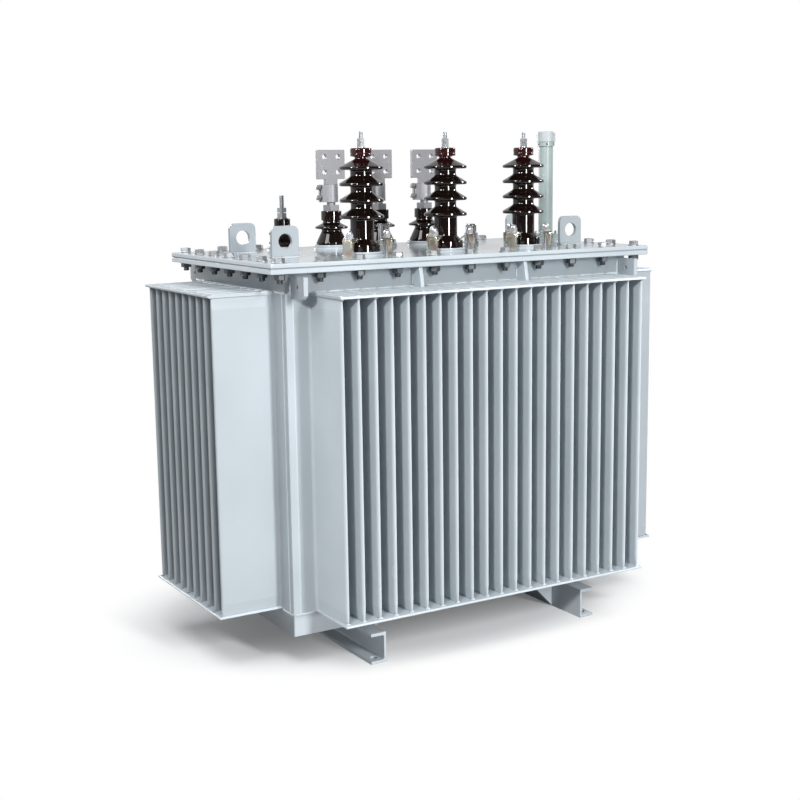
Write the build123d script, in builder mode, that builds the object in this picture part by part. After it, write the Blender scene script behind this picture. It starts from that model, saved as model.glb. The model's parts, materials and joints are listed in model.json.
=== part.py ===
from build123d import *
import os

# Oil-filled three-phase transformer with a corrugated tank.
# Millimetres, +Z up, X along the tank, front side facing -Y, Z zero under the skids.

# Cutting tools run past the faces they cut by this much
overrun = 2.0

# Skids: two channels laid across the tank, open to the outside
skid_height = 80.0
skid_flange = 43.0
skid_web = 6.0
skid_flange_thickness = 8.0
skid_root_radius = 5.0
skid_length = 730.0
skid_web_offset = 308.0
skid_hole_diameter = 18.0
skid_hole_inset = 25.0
gusset_thickness = 8.0
gusset_reach = 76.0
gusset_height = 78.0
gusset_setback = 42.0

# Tank shell
tank_length = 1040.0
tank_width = 556.0
tank_sheet = 2.0
tank_plate = 6.0
base_plate = 8.0
base_height = 54.0
wall_height = 799.0
rim_height = 49.0
corner_leg = 20.0
corner_radius = 3.0

# Corrugated fins
fin_pitch = 45.0
fin_thickness = 10.0
fin_root_radius = 8.0
fin_pinch_height = 28.0
fin_end_margin = 40.0
front_fin_depth = 154.0
side_fin_depth = 160.0

# Plates that close the rows of fins above and below
fin_plate_thickness = 6.0
fin_plate_reach = 9.0
fin_plate_side = 3.0
fin_plate_rise = 2.0
fin_plate_edge_radius = 2.0

# Flange, gasket and cover
flange_overhang_x = 53.0
flange_overhang_y = 38.0
flange_thickness = 12.0
flange_edge_radius = 2.5
flange_corner_radius = 5.0
gasket_thickness = 3.4
gasket_inset = 2.0
cover_thickness = 10.0
cover_edge_radius = 4.0

# Ribs under the flange
rib_spacing = 320.0
rib_thickness = 10.0
rib_top_reach = 31.0
rib_foot_reach = 41.0
rib_notch = 6.0

# Lifting hooks on the tank rim
hook_inset = 20.0
hook_thickness = 12.0
hook_reach = 71.0
hook_height = 53.0
hook_drop = 11.0
hook_nose_height = 44.0
hook_corner_radius = 14.0
hook_hole_diameter = 10.0
hook_hole_reach = 37.0
hook_hole_height = 28.0

# Lifting eyes on the cover
eye_inset_x = 75.0
eye_inset_y = 150.0
eye_width = 74.0
eye_height = 80.0
eye_thickness = 10.0
eye_corner_radius = 16.0
eye_hole_diameter = 38.0
eye_hole_height = 42.0

# Raised seats welded on the cover
seat_height = 11.0
seat_lip = 4.0
seat_groove_height = 2.0
seat_groove_depth = 3.0
seat_bore_clearance = 1.0

# High voltage bushings, front row
hv_spacing = 250.0
hv_row_inset = 102.0
hv_seat_margin = 6.0
hv_foot_diameter = 90.0
hv_foot_height = 17.0
hv_foot_rounding = 5.0
hv_shoulder_height = 14.0
hv_trunk_diameter = 60.0
hv_trunk_rounding = 6.0
hv_core_diameter = 56.0
hv_shed_count = 4
hv_shed_diameter = 112.0
hv_shed_pitch = 40.4
hv_first_shed = 86.0
hv_shed_rise = 20.0
hv_shed_flare = 7.0
hv_shed_lip = 7.0
hv_shed_rounding = 3.2
hv_shed_sag = 1.5
hv_shed_root = 4.0
hv_neck_diameter = 32.0
hv_neck_length = 3.2
hv_neck_rise = 29.8
hv_neck_flare = 2.5
hv_head_diameter = 54.0
hv_head_height = 20.0
hv_head_taper = 3.2
hv_head_lip = 5.0
hv_head_groove = 2.5
hv_head_rounding = 1.2
hv_head_shoulder = 4.0
hv_stud_diameter = 10.0
hv_stud_length = 40.0
hv_nut_width = 18.0
hv_nut_height = 10.0
hv_nut_gap = 1.0
hv_washer_diameter = 23.0
hv_washer_thickness = 2.5

# Pressed channel clamps that hold each high voltage bushing
clamp_count = 3
clamp_first_angle = 90.0
clamp_strip = 4.0
clamp_width = 26.0
clamp_toe_overlap = 5.0
clamp_toe_lift = 0.3
clamp_rise = 8.0
clamp_crest_reach = 7.0
clamp_cheek_reach = 12.0
clamp_bolt_reach = 17.0
clamp_shoulder_reach = 32.0
clamp_foot_reach = 28.0
clamp_foot_depth = 7.0
clamp_bend_radius = 6.0
clamp_inner_radius = 2.0
clamp_hole_diameter = 13.0

# Low voltage bushings, back row
lv_spacing = 152.0
lv_row_inset = 103.0
lv_seat_margin = 7.0
lv_foot_diameter = 86.0
lv_foot_height = 6.0
lv_foot_rounding = 2.0
lv_waist_diameter = 52.0
lv_waist_drop = 5.5
lv_waist_rounding = 4.0
lv_shed_diameter = 91.0
lv_shed_height = 47.0
lv_shed_lip = 5.0
lv_shed_rounding = 2.2
lv_neck_diameter = 48.0
lv_neck_rise = 13.0
lv_cap_diameter = 57.0
lv_cap_rise = 19.5
lv_cap_height = 26.5
lv_cap_rounding = 2.5

# Low voltage flag terminals
lv_nut_width = 43.0
lv_nut_height = 16.0
lv_collar_diameter = 24.0
lv_collar_height = 8.0
lv_barrel_diameter = 40.0
lv_barrel_height = 48.0
lv_ear_reach = 32.0
lv_ear_thickness = 10.0
lv_ear_slot = 4.0
lv_stem_width = 37.0
lv_stem_height = 14.5
flag_width = 84.0
flag_height = 80.0
flag_thickness = 12.0
flag_corner_radius = 3.0
flag_hole_diameter = 14.0
flag_hole_spacing = 42.0

# Neutral bushing at the left end of the back row
neutral_seat_margin = 5.0
neutral_shed_count = 2
neutral_shed_diameter = 74.0
neutral_trunk_diameter = 46.0
neutral_shed_pitch = 25.0
neutral_first_shed = 10.0
neutral_shed_rise = 11.0
neutral_shed_lip = 5.0
neutral_shed_rounding = 2.2
neutral_shed_root = 2.5
neutral_cap_rise = 17.0
neutral_cap_diameter = 44.0
neutral_cap_height = 24.0
neutral_cap_rounding = 2.5
neutral_nut_width = 24.0
neutral_nut_height = 12.0
neutral_nut_gap = 2.0
neutral_washer_diameter = 30.0
neutral_washer_thickness = 3.0
neutral_stud_diameter = 12.0
neutral_stud_length = 62.0

# Oil filling tube
oil_tube_inset_x = 25.0
oil_tube_inset_y = 228.0
oil_tube_diameter = 42.0
oil_tube_wall = 3.0
oil_tube_length = 253.0
oil_flange_diameter = 84.0
oil_flange_thickness = 12.0
oil_collar_diameter = 50.0
oil_collar_height = 13.0
oil_cap_diameter = 55.0
oil_cap_height = 29.0
oil_cap_edge_radius = 4.0

# Pressure relief valve
valve_x = 264.0
valve_y = 100.0
valve_base_diameter = 46.0
valve_base_height = 10.0
valve_hex_width = 38.0
valve_hex_height = 22.0
valve_cap_diameter = 32.0
valve_cap_height = 26.0
valve_edge_radius = 3.0

# Thermometer pocket
pocket_x = -62.0
pocket_y = 40.0
pocket_hex_width = 40.0
pocket_hex_height = 14.0
pocket_diameter = 31.0
pocket_height = 50.0
pocket_rim_diameter = 35.0
pocket_rim_height = 6.0

# Hexagon nuts and fittings
hexagon_sides = 6

# Levels, from the ground up
base_bottom = skid_height
wall_bottom = base_bottom + base_height
wall_top = wall_bottom + wall_height
flange_bottom = wall_top + rim_height
gasket_bottom = flange_bottom + flange_thickness
cover_bottom = gasket_bottom + gasket_thickness
cover_top = cover_bottom + cover_thickness
seat_top = cover_top + seat_height
lower_plate_bottom = wall_bottom + fin_plate_rise
fin_bottom = lower_plate_bottom + fin_plate_thickness
fin_top = wall_top - fin_plate_thickness
fin_height = fin_top - fin_bottom

# Sizes that follow the tank's length and width
half_length = tank_length / 2
half_width = tank_width / 2
inner_length = tank_length - 2 * tank_plate
inner_width = tank_width - 2 * tank_plate
flange_length = tank_length + 2 * flange_overhang_x
flange_width = tank_width + 2 * flange_overhang_y
fin_pinch_thickness = 2 * tank_sheet
oil_tube_x = half_length - oil_tube_inset_x
oil_tube_y = half_width - oil_tube_inset_y
hv_row = half_width - hv_row_inset
lv_row = half_width - lv_row_inset

# Finished solids by node name, written out at the end
pieces = {}


def skid(side):
    # Channel with its web towards the tank centre; side is -1 for left, 1 for right
    web = side * skid_web_offset
    tip = side * (skid_web_offset + skid_flange)
    inner_web = side * (skid_web_offset + skid_web)
    start = -skid_length / 2
    with BuildPart() as channel:
        with BuildSketch(Plane.XZ.offset(start)):
            with BuildLine():
                Polyline(
                    (web, 0),
                    (tip, 0),
                    (tip, skid_flange_thickness),
                    (inner_web, skid_flange_thickness),
                    (inner_web, skid_height - skid_flange_thickness),
                    (tip, skid_height - skid_flange_thickness),
                    (tip, skid_height),
                    (web, skid_height),
                    close=True,
                )
            make_face()
        extrude(amount=skid_length)
        roots = channel.edges().filter_by(Axis.Y).filter_by(
            lambda edge: abs(edge.center().X - inner_web) < skid_web / 2
        )
        fillet(roots, skid_root_radius)
        hole_x = (inner_web + tip) / 2
        hole_y = skid_length / 2 - skid_hole_inset
        with Locations((hole_x, -hole_y, 0), (hole_x, hole_y, 0)):
            Cylinder(skid_hole_diameter / 2, 2 * (skid_flange_thickness + overrun), mode=Mode.SUBTRACT)
    return channel.part


def skid_gussets():
    # Triangular plates between each web and the tank base
    face = half_width - gusset_setback
    with BuildPart() as gussets:
        for side in (-1, 1):
            web = side * skid_web_offset
            for plane_y in (-face, face - gusset_thickness):
                with BuildSketch(Plane.XZ.offset(-plane_y - gusset_thickness)):
                    with BuildLine():
                        Polyline(
                            (web, skid_height),
                            (web - side * gusset_reach, skid_height),
                            (web, skid_height - gusset_height),
                            close=True,
                        )
                    make_face()
                extrude(amount=gusset_thickness)
    return gussets.part


def tank_base():
    # Shallow pan that carries the walls
    with BuildPart() as base:
        with BuildSketch(Plane.XY.offset(base_bottom)):
            Rectangle(tank_length, tank_width)
        extrude(amount=base_height)
        fillet(base.edges().filter_by(Axis.Z), corner_radius)
        with BuildSketch(Plane.XY.offset(base_bottom + base_plate)):
            Rectangle(inner_length, inner_width)
        extrude(amount=base_height, mode=Mode.SUBTRACT)
    return base.part


def tank_corners():
    # Four folded corner posts between the corrugated walls
    with BuildPart() as corners:
        with BuildSketch(Plane.XY.offset(wall_bottom)):
            Rectangle(tank_length, tank_width)
            Rectangle(inner_length, inner_width, mode=Mode.SUBTRACT)
            Rectangle(tank_length - 2 * corner_leg, tank_width, mode=Mode.SUBTRACT)
            Rectangle(tank_length, tank_width - 2 * corner_leg, mode=Mode.SUBTRACT)
        extrude(amount=wall_height)
        outer = corners.edges().filter_by(Axis.Z).filter_by(
            lambda edge: abs(edge.center().X) > half_length - tank_plate / 2
            and abs(edge.center().Y) > half_width - tank_plate / 2
        )
        fillet(outer, corner_radius)
    return corners.part


def tank_filling():
    # Oil, core and windings inside the closed tank, taken as one mass
    floor = base_bottom + base_plate
    with BuildPart() as filling:
        with BuildSketch(Plane.XY.offset(floor)):
            Rectangle(inner_length, inner_width)
        extrude(amount=cover_bottom - floor)
    return filling.part


def fins_along(side_length):
    # As many fins as the pitch allows between two corner posts
    room = side_length - 2 * (corner_leg + fin_end_margin)
    return int(room / fin_pitch) + 1


def fin_outline(depth, thickness):
    # Section of one corrugation: flared root, flat sides and a rounded nose
    half = thickness / 2
    root = half + fin_root_radius
    shank = depth - half
    with BuildSketch() as outline:
        with BuildLine():
            left_root = RadiusArc((-root, 0), (-half, -fin_root_radius), fin_root_radius)
            left_side = Line(left_root @ 1, (-half, -shank))
            nose = ThreePointArc(left_side @ 1, (0, -depth), (half, -shank))
            right_side = Line(nose @ 1, (half, -fin_root_radius))
            right_root = RadiusArc(right_side @ 1, (root, 0), fin_root_radius)
            Polyline(right_root @ 1, (root, tank_sheet), (-root, tank_sheet), (-root, 0))
        make_face()
    return outline.sketch


def fin_blade(depth):
    # One corrugation, pressed flat towards its two ends
    body_bottom = fin_bottom + fin_pinch_height
    body_top = fin_top - fin_pinch_height
    with BuildPart() as blade:
        with BuildSketch(Plane.XY.offset(fin_bottom)):
            add(fin_outline(depth, fin_pinch_thickness))
        with BuildSketch(Plane.XY.offset(body_bottom)):
            add(fin_outline(depth, fin_thickness))
        loft(ruled=True)
        with BuildSketch(Plane.XY.offset(body_bottom)):
            add(fin_outline(depth, fin_thickness))
        extrude(amount=body_top - body_bottom)
        with BuildSketch(Plane.XY.offset(body_top)):
            add(fin_outline(depth, fin_thickness))
        with BuildSketch(Plane.XY.offset(fin_top)):
            add(fin_outline(depth, fin_pinch_thickness))
        loft(ruled=True)
    return blade.part


def corrugated_wall(side_length, wall_face, fin_depth):
    # Wall facing -Y: a sheet with hollow fins that open to the inside of the tank
    blade = fin_blade(fin_depth)
    fin_count = fins_along(side_length)
    first = -fin_pitch * (fin_count - 1) / 2
    places = [(first + fin_pitch * index, -wall_face, 0) for index in range(fin_count)]
    hollow_depth = fin_depth - tank_sheet
    hollow_height = fin_height - 2 * fin_pinch_height
    with BuildPart() as wall:
        with BuildSketch(Plane.XY.offset(wall_bottom)):
            with Locations((0, tank_sheet / 2 - wall_face)):
                Rectangle(side_length - 2 * corner_leg, tank_sheet)
        extrude(amount=wall_height)
        with Locations(*places):
            add(blade)
        hollow_y = (tank_sheet + overrun - hollow_depth) / 2
        hollow_z = (fin_bottom + fin_top) / 2
        with Locations(*[(x, y + hollow_y, hollow_z) for x, y, z in places]):
            Box(
                fin_thickness - 2 * tank_sheet,
                hollow_depth + tank_sheet + overrun,
                hollow_height,
                mode=Mode.SUBTRACT,
            )
    return wall.part


def fin_plate(level, side_length, wall_face, fin_depth):
    # Closing plate of one row of fins, facing -Y
    length = fin_pitch * (fins_along(side_length) - 1) + fin_thickness + 2 * fin_plate_side
    width = fin_depth + fin_plate_reach
    with BuildPart() as plate:
        with BuildSketch(Plane.XY.offset(level)):
            with Locations((0, -wall_face - width / 2)):
                Rectangle(length, width)
        extrude(amount=fin_plate_thickness)
        fillet(plate.edges().filter_by(Axis.X).group_by(Axis.Y)[0], fin_plate_edge_radius)
    return plate.part


def fin_plates(level):
    # The closing plates of all four rows at one level
    rows = [turned(fin_plate(level, *row), quarter) for quarter, row in enumerate(fin_rows)]
    with BuildPart() as plates:
        add(rows)
    return plates.part


def turned(shape, quarter):
    # The same piece turned about the tank's upright axis by so many quarters
    with BuildPart() as copy:
        add(shape, rotation=(0, 0, quarter * 360 / len(fin_rows)))
    return copy.part


def tank_rim():
    # Plain band between the corrugated walls and the flange
    with BuildPart() as rim:
        with BuildSketch(Plane.XY.offset(wall_top)):
            Rectangle(tank_length, tank_width)
            fillet(vertices(), corner_radius)
            Rectangle(inner_length, inner_width, mode=Mode.SUBTRACT)
        extrude(amount=rim_height)
    return rim.part


def tank_flange():
    # Bolting frame round the tank mouth
    with BuildPart() as flange:
        with BuildSketch(Plane.XY.offset(flange_bottom)):
            Rectangle(flange_length, flange_width)
            fillet(vertices(), flange_corner_radius)
        extrude(amount=flange_thickness)
        fillet(flange.faces().sort_by(Axis.Z)[0].edges(), flange_edge_radius)
        with BuildSketch(Plane.XY.offset(flange_bottom)):
            Rectangle(inner_length, inner_width)
        extrude(amount=flange_thickness, mode=Mode.SUBTRACT)
    return flange.part


def cover_gasket():
    # Soft ring between the flange and the cover
    with BuildPart() as gasket:
        with BuildSketch(Plane.XY.offset(gasket_bottom)):
            Rectangle(flange_length - 2 * gasket_inset, flange_width - 2 * gasket_inset)
            Rectangle(inner_length, inner_width, mode=Mode.SUBTRACT)
        extrude(amount=gasket_thickness)
    return gasket.part


def tank_cover():
    # Flat cover plate with an eased upper edge
    with BuildPart() as cover:
        with BuildSketch(Plane.XY.offset(cover_bottom)):
            Rectangle(flange_length, flange_width)
            fillet(vertices(), flange_corner_radius)
        extrude(amount=cover_thickness)
        fillet(cover.faces().sort_by(Axis.Z)[-1].edges(), cover_edge_radius)
    return cover.part


def flange_ribs():
    # Upright plates between the rim and the flange, front and back
    with BuildPart() as ribs:
        for x in (-rib_spacing / 2, rib_spacing / 2):
            for side in (-1, 1):
                with BuildSketch(Plane.YZ.offset(x)):
                    with BuildLine():
                        Polyline(
                            (side * half_width, wall_top + rib_notch),
                            (side * (half_width + rib_notch), wall_top),
                            (side * (half_width + rib_foot_reach), wall_top),
                            (side * (half_width + rib_top_reach), flange_bottom),
                            (side * half_width, flange_bottom),
                            close=True,
                        )
                    make_face()
                extrude(amount=rib_thickness / 2, both=True)
    return ribs.part


def tank_hooks():
    # Lifting hooks welded to the rim near the tank corners
    bottom = wall_top - hook_drop
    top = bottom + hook_height
    with BuildPart() as hooks:
        for x in (hook_inset - half_length, half_length - hook_inset):
            for side in (-1, 1):
                nose = side * (half_width + hook_reach)
                with BuildSketch(Plane.YZ.offset(x)):
                    with BuildLine():
                        Polyline(
                            (side * half_width, bottom),
                            (nose - side * hook_corner_radius, bottom),
                            (nose, top - hook_nose_height),
                            (nose, top),
                            (side * half_width, top),
                            close=True,
                        )
                    make_face()
                    outer = vertices().group_by(Axis.Y)[-1 if side > 0 else 0].sort_by(Axis.Z)[-1]
                    fillet(outer, hook_corner_radius)
                    with Locations((side * (half_width + hook_hole_reach), bottom + hook_hole_height)):
                        Circle(hook_hole_diameter / 2, mode=Mode.SUBTRACT)
                extrude(amount=hook_thickness / 2, both=True)
    return hooks.part


def cover_eye(x, y):
    # Upright lifting plate with a round eye
    with BuildPart() as eye:
        with BuildSketch(Plane.XZ.offset(-y)):
            with Locations((x, cover_top + eye_height / 2)):
                Rectangle(eye_width, eye_height)
            fillet(vertices().group_by(Axis.Y)[-1], eye_corner_radius)
            with Locations((x, cover_top + eye_hole_height)):
                Circle(eye_hole_diameter / 2, mode=Mode.SUBTRACT)
        extrude(amount=eye_thickness / 2, both=True)
    return eye.part


def hv_places():
    return [(hv_spacing * step, -hv_row) for step in (-1, 0, 1)]


def lv_places():
    return [(lv_spacing * step, lv_row) for step in (-1, 0, 1)]


def neutral_place():
    return (-2 * lv_spacing, lv_row)


def bushing_seats():
    # Raised grooved rings that carry the bushings and the oil tube
    rings = [(place, hv_foot_diameter / 2 + hv_seat_margin, hv_trunk_diameter) for place in hv_places()]
    rings += [(place, lv_foot_diameter / 2 + lv_seat_margin, lv_waist_diameter) for place in lv_places()]
    rings += [(neutral_place(), neutral_shed_diameter / 2 + neutral_seat_margin, neutral_trunk_diameter)]
    rings += [((oil_tube_x, oil_tube_y), oil_flange_diameter / 2, oil_tube_diameter)]
    groove_top = seat_top - seat_lip
    groove_bottom = groove_top - seat_groove_height
    with BuildPart() as seats:
        for place, outer, bore_diameter in rings:
            bore = bore_diameter / 2 - seat_bore_clearance
            levels = ((cover_top, groove_bottom, outer), (groove_top, seat_top, outer))
            levels += ((groove_bottom, groove_top, outer - seat_groove_depth),)
            for bottom, top, reach in levels:
                with BuildSketch(Plane.XY.offset(bottom)):
                    with Locations(place):
                        Circle(reach)
                        Circle(bore, mode=Mode.SUBTRACT)
                extrude(amount=top - bottom)
    return seats.part


def turned_solid(place, corners):
    # Round piece on an upright axis; each corner is a radius, a level and its rounding
    x, y = place
    with BuildPart() as solid:
        with BuildSketch(Plane.XZ.offset(-y)):
            with BuildLine():
                FilletPolyline(
                    *[(x + radius, level) for radius, level, rounding in corners],
                    radius=[rounding for radius, level, rounding in corners],
                    close=True,
                )
            make_face()
        revolve(axis=Axis((x, y, 0), (0, 0, 1)))
    return solid.part


def hv_neck_level():
    return seat_top + hv_first_shed + hv_shed_pitch * (hv_shed_count - 1) + hv_neck_rise


def hv_bushing(place):
    # Glazed porcelain: clamped foot, conical sheds with round lips and a grooved head
    trunk = hv_trunk_diameter / 2
    core = hv_core_diameter / 2
    shed = hv_shed_diameter / 2
    foot = hv_foot_diameter / 2
    neck = hv_neck_diameter / 2
    head = hv_head_diameter / 2
    foot_top = seat_top + hv_foot_height
    corners = [(0, seat_top, 0), (foot, seat_top, 0), (foot, foot_top, hv_foot_rounding)]
    corners += [(trunk, foot_top + hv_shoulder_height, hv_trunk_rounding)]
    for index in range(hv_shed_count):
        tip = seat_top + hv_first_shed + hv_shed_pitch * index
        corners += [(core if index else trunk, tip - hv_shed_lip / 2 - hv_shed_sag, hv_shed_root)]
        corners += [(shed, tip - hv_shed_lip / 2, hv_shed_rounding)]
        corners += [(shed, tip + hv_shed_lip / 2, hv_shed_rounding)]
        if index < hv_shed_count - 1:
            corners += [(core, tip + hv_shed_rise, hv_shed_flare)]
    level = hv_neck_level()
    neck_top = level - hv_head_taper
    groove = level + hv_head_lip
    top = level + hv_head_height
    corners += [(neck, neck_top - hv_neck_length, hv_neck_flare), (neck, neck_top, 0)]
    corners += [(head, level, hv_head_rounding), (head, groove, hv_head_rounding)]
    corners += [(head - hv_head_groove, groove + hv_head_groove / 2, hv_head_rounding)]
    corners += [(head, groove + hv_head_groove, hv_head_rounding), (head, top, hv_head_shoulder), (0, top, 0)]
    return turned_solid(place, corners)


def stud_with_nuts(place, start, stud_diameter, stud_length, nut, washer):
    # Threaded stud with a washer and two hexagon nuts
    nut_width, nut_height, nut_gap = nut
    washer_diameter, washer_thickness = washer
    first_nut = start + washer_thickness
    second_nut = first_nut + nut_height + nut_gap
    with BuildPart() as terminal:
        with BuildSketch(Plane.XY.offset(start)):
            with Locations(place):
                Circle(stud_diameter / 2)
        extrude(amount=stud_length)
        with BuildSketch(Plane.XY.offset(start)):
            with Locations(place):
                Circle(washer_diameter / 2)
        extrude(amount=washer_thickness)
        for level in (first_nut, second_nut):
            with BuildSketch(Plane.XY.offset(level)):
                with Locations(place):
                    RegularPolygon(nut_width / 2, hexagon_sides, major_radius=False)
            extrude(amount=nut_height)
    return terminal.part


def hv_clamps(place):
    # Three channel-shaped claws that press the porcelain foot down on its seat
    x, y = place
    foot = hv_foot_diameter / 2
    slope = hv_shoulder_height / (foot - hv_trunk_diameter / 2)
    toe = foot - clamp_toe_overlap
    toe_bottom = seat_top + hv_foot_height + slope * clamp_toe_overlap + clamp_toe_lift
    crest_bottom = toe_bottom + clamp_rise
    crest_top = crest_bottom + clamp_strip
    crest_end = foot + clamp_shoulder_reach
    foot_end = foot + clamp_foot_reach
    bend = clamp_bend_radius
    outline = [(toe, toe_bottom, 0), (foot + clamp_crest_reach, crest_bottom, clamp_inner_radius)]
    outline += [(foot + clamp_cheek_reach, crest_bottom, clamp_inner_radius)]
    outline += [(foot_end - clamp_foot_depth, cover_top, 0), (foot_end, cover_top, 0)]
    outline += [(crest_end, crest_top, bend), (foot + clamp_crest_reach, crest_top, bend)]
    outline += [(toe, toe_bottom + clamp_strip, 0)]
    with BuildPart() as claw:
        with BuildSketch(Plane.XZ):
            with BuildLine():
                FilletPolyline(
                    *[(radius, level) for radius, level, rounding in outline],
                    radius=[rounding for radius, level, rounding in outline],
                    close=True,
                )
            make_face()
        extrude(amount=clamp_width / 2, both=True)
        with BuildSketch(Plane.XZ):
            with BuildLine():
                Polyline(
                    (foot, crest_bottom),
                    (crest_end - clamp_strip, crest_bottom),
                    (foot_end - clamp_strip, cover_top),
                    (foot, cover_top),
                    close=True,
                )
            make_face()
        extrude(amount=clamp_width / 2 - clamp_strip, both=True, mode=Mode.SUBTRACT)
        with Locations((foot + clamp_bolt_reach, 0, crest_top)):
            Cylinder(clamp_hole_diameter / 2, 2 * clamp_strip + 2 * overrun, mode=Mode.SUBTRACT)
    with BuildPart() as clamps:
        for index in range(clamp_count):
            turn = clamp_first_angle + index * 360 / clamp_count
            with Locations(Location((x, y, 0), (0, 0, turn))):
                add(claw.part)
    return clamps.part


def lv_cap_level():
    return seat_top + lv_shed_height + lv_cap_rise


def lv_bushing(place):
    # Squat porcelain: conical foot, one broad shed and a plain round cap
    foot = lv_foot_diameter / 2
    waist = lv_waist_diameter / 2
    shed = lv_shed_diameter / 2
    neck = lv_neck_diameter / 2
    cap = lv_cap_diameter / 2
    tip = seat_top + lv_shed_height
    cap_start = lv_cap_level()
    cap_top = cap_start + lv_cap_height
    corners = [(0, seat_top, 0), (foot, seat_top, 0), (foot, seat_top + lv_foot_height, lv_foot_rounding)]
    corners += [(waist, tip - lv_waist_drop, lv_waist_rounding)]
    corners += [(shed, tip - lv_shed_lip / 2, lv_shed_rounding)]
    corners += [(shed, tip + lv_shed_lip / 2, lv_shed_rounding)]
    corners += [(neck, tip + lv_neck_rise, lv_waist_rounding), (neck, cap_start, 0)]
    corners += [(cap, cap_start, lv_cap_rounding), (cap, cap_top, lv_cap_rounding), (0, cap_top, 0)]
    return turned_solid(place, corners)


def lv_terminal(place):
    # Clamp barrel on the stud with a flat drilled flag above
    x, y = place
    nut_bottom = lv_cap_level() + lv_cap_height
    collar_bottom = nut_bottom + lv_nut_height
    barrel_bottom = collar_bottom + lv_collar_height
    barrel_top = barrel_bottom + lv_barrel_height
    flag_bottom = barrel_top + lv_stem_height
    with BuildPart() as terminal:
        with BuildSketch(Plane.XY.offset(nut_bottom)):
            with Locations((x, y)):
                RegularPolygon(lv_nut_width / 2, hexagon_sides, major_radius=False)
        extrude(amount=lv_nut_height)
        with BuildSketch(Plane.XY.offset(collar_bottom)):
            with Locations((x, y)):
                Circle(lv_collar_diameter / 2)
        extrude(amount=lv_collar_height)
        with BuildSketch(Plane.XY.offset(barrel_bottom)):
            with Locations((x, y)):
                Circle(lv_barrel_diameter / 2)
            with Locations((x - lv_ear_reach / 2, y)):
                Rectangle(lv_ear_reach, 2 * lv_ear_thickness + lv_ear_slot)
            with Locations((x - lv_ear_reach, y)):
                Rectangle(lv_ear_reach, lv_ear_slot, mode=Mode.SUBTRACT)
        extrude(amount=lv_barrel_height)
        with BuildSketch(Plane.XZ.offset(-y)):
            with Locations((x, barrel_top + lv_stem_height / 2)):
                Rectangle(lv_stem_width, lv_stem_height)
            with Locations((x, flag_bottom + flag_height / 2)):
                RectangleRounded(flag_width, flag_height, flag_corner_radius)
                with GridLocations(flag_hole_spacing, flag_hole_spacing, 2, 2):
                    Circle(flag_hole_diameter / 2, mode=Mode.SUBTRACT)
        extrude(amount=flag_thickness / 2, both=True)
    return terminal.part


def neutral_cap_level():
    return seat_top + neutral_first_shed + neutral_shed_pitch * (neutral_shed_count - 1) + neutral_cap_rise


def neutral_bushing(place):
    # Small porcelain with two sheds under a plain cap
    trunk = neutral_trunk_diameter / 2
    shed = neutral_shed_diameter / 2
    cap = neutral_cap_diameter / 2
    cap_start = neutral_cap_level()
    cap_top = cap_start + neutral_cap_height
    corners = [(0, seat_top, 0), (trunk, seat_top, 0)]
    for index in range(neutral_shed_count):
        tip = seat_top + neutral_first_shed + neutral_shed_pitch * index
        corners += [(trunk, tip - neutral_shed_lip / 2, neutral_shed_root)]
        corners += [(shed, tip - neutral_shed_lip / 2, neutral_shed_rounding)]
        corners += [(shed, tip + neutral_shed_lip / 2, neutral_shed_rounding)]
        corners += [(trunk, tip + neutral_shed_rise, neutral_shed_root)]
    corners += [(trunk, cap_start, 0), (cap, cap_start, 0)]
    corners += [(cap, cap_top, neutral_cap_rounding), (0, cap_top, 0)]
    return turned_solid(place, corners)


def oil_tube():
    # Filling tube on a bolted flange, with a collar at its mouth
    place = (oil_tube_x, oil_tube_y)
    with BuildPart() as tube:
        with BuildSketch(Plane.XY.offset(seat_top)):
            with Locations(place):
                Circle(oil_flange_diameter / 2)
        extrude(amount=oil_flange_thickness)
        with BuildSketch(Plane.XY.offset(seat_top + oil_flange_thickness)):
            with Locations(place):
                Circle(oil_tube_diameter / 2)
        extrude(amount=oil_tube_length)
        with BuildSketch(Plane.XY.offset(seat_top + oil_flange_thickness + oil_tube_length)):
            with Locations(place):
                Circle(oil_collar_diameter / 2)
        extrude(amount=oil_collar_height)
        with BuildSketch(Plane.XY.offset(seat_top)):
            with Locations(place):
                Circle(oil_tube_diameter / 2 - oil_tube_wall)
        extrude(amount=oil_flange_thickness + oil_tube_length + oil_collar_height, mode=Mode.SUBTRACT)
    return tube.part


def oil_tube_cap():
    # Screwed plastic cap on the tube
    start = seat_top + oil_flange_thickness + oil_tube_length + oil_collar_height
    with BuildPart() as cap:
        with BuildSketch(Plane.XY.offset(start)):
            with Locations((oil_tube_x, oil_tube_y)):
                Circle(oil_cap_diameter / 2)
        extrude(amount=oil_cap_height)
        fillet(cap.faces().sort_by(Axis.Z)[-1].edges(), oil_cap_edge_radius)
    return cap.part


def relief_valve():
    # Pressure relief valve: round foot, hexagon body and plain cap
    place = (valve_x, valve_y)
    with BuildPart() as valve:
        with BuildSketch(Plane.XY.offset(cover_top)):
            with Locations(place):
                Circle(valve_base_diameter / 2)
        extrude(amount=valve_base_height)
        with BuildSketch(Plane.XY.offset(cover_top + valve_base_height)):
            with Locations(place):
                RegularPolygon(valve_hex_width / 2, hexagon_sides, major_radius=False)
        extrude(amount=valve_hex_height)
        with BuildSketch(Plane.XY.offset(cover_top + valve_base_height + valve_hex_height)):
            with Locations(place):
                Circle(valve_cap_diameter / 2)
        extrude(amount=valve_cap_height)
        fillet(valve.faces().sort_by(Axis.Z)[-1].edges(), valve_edge_radius)
    return valve.part


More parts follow.
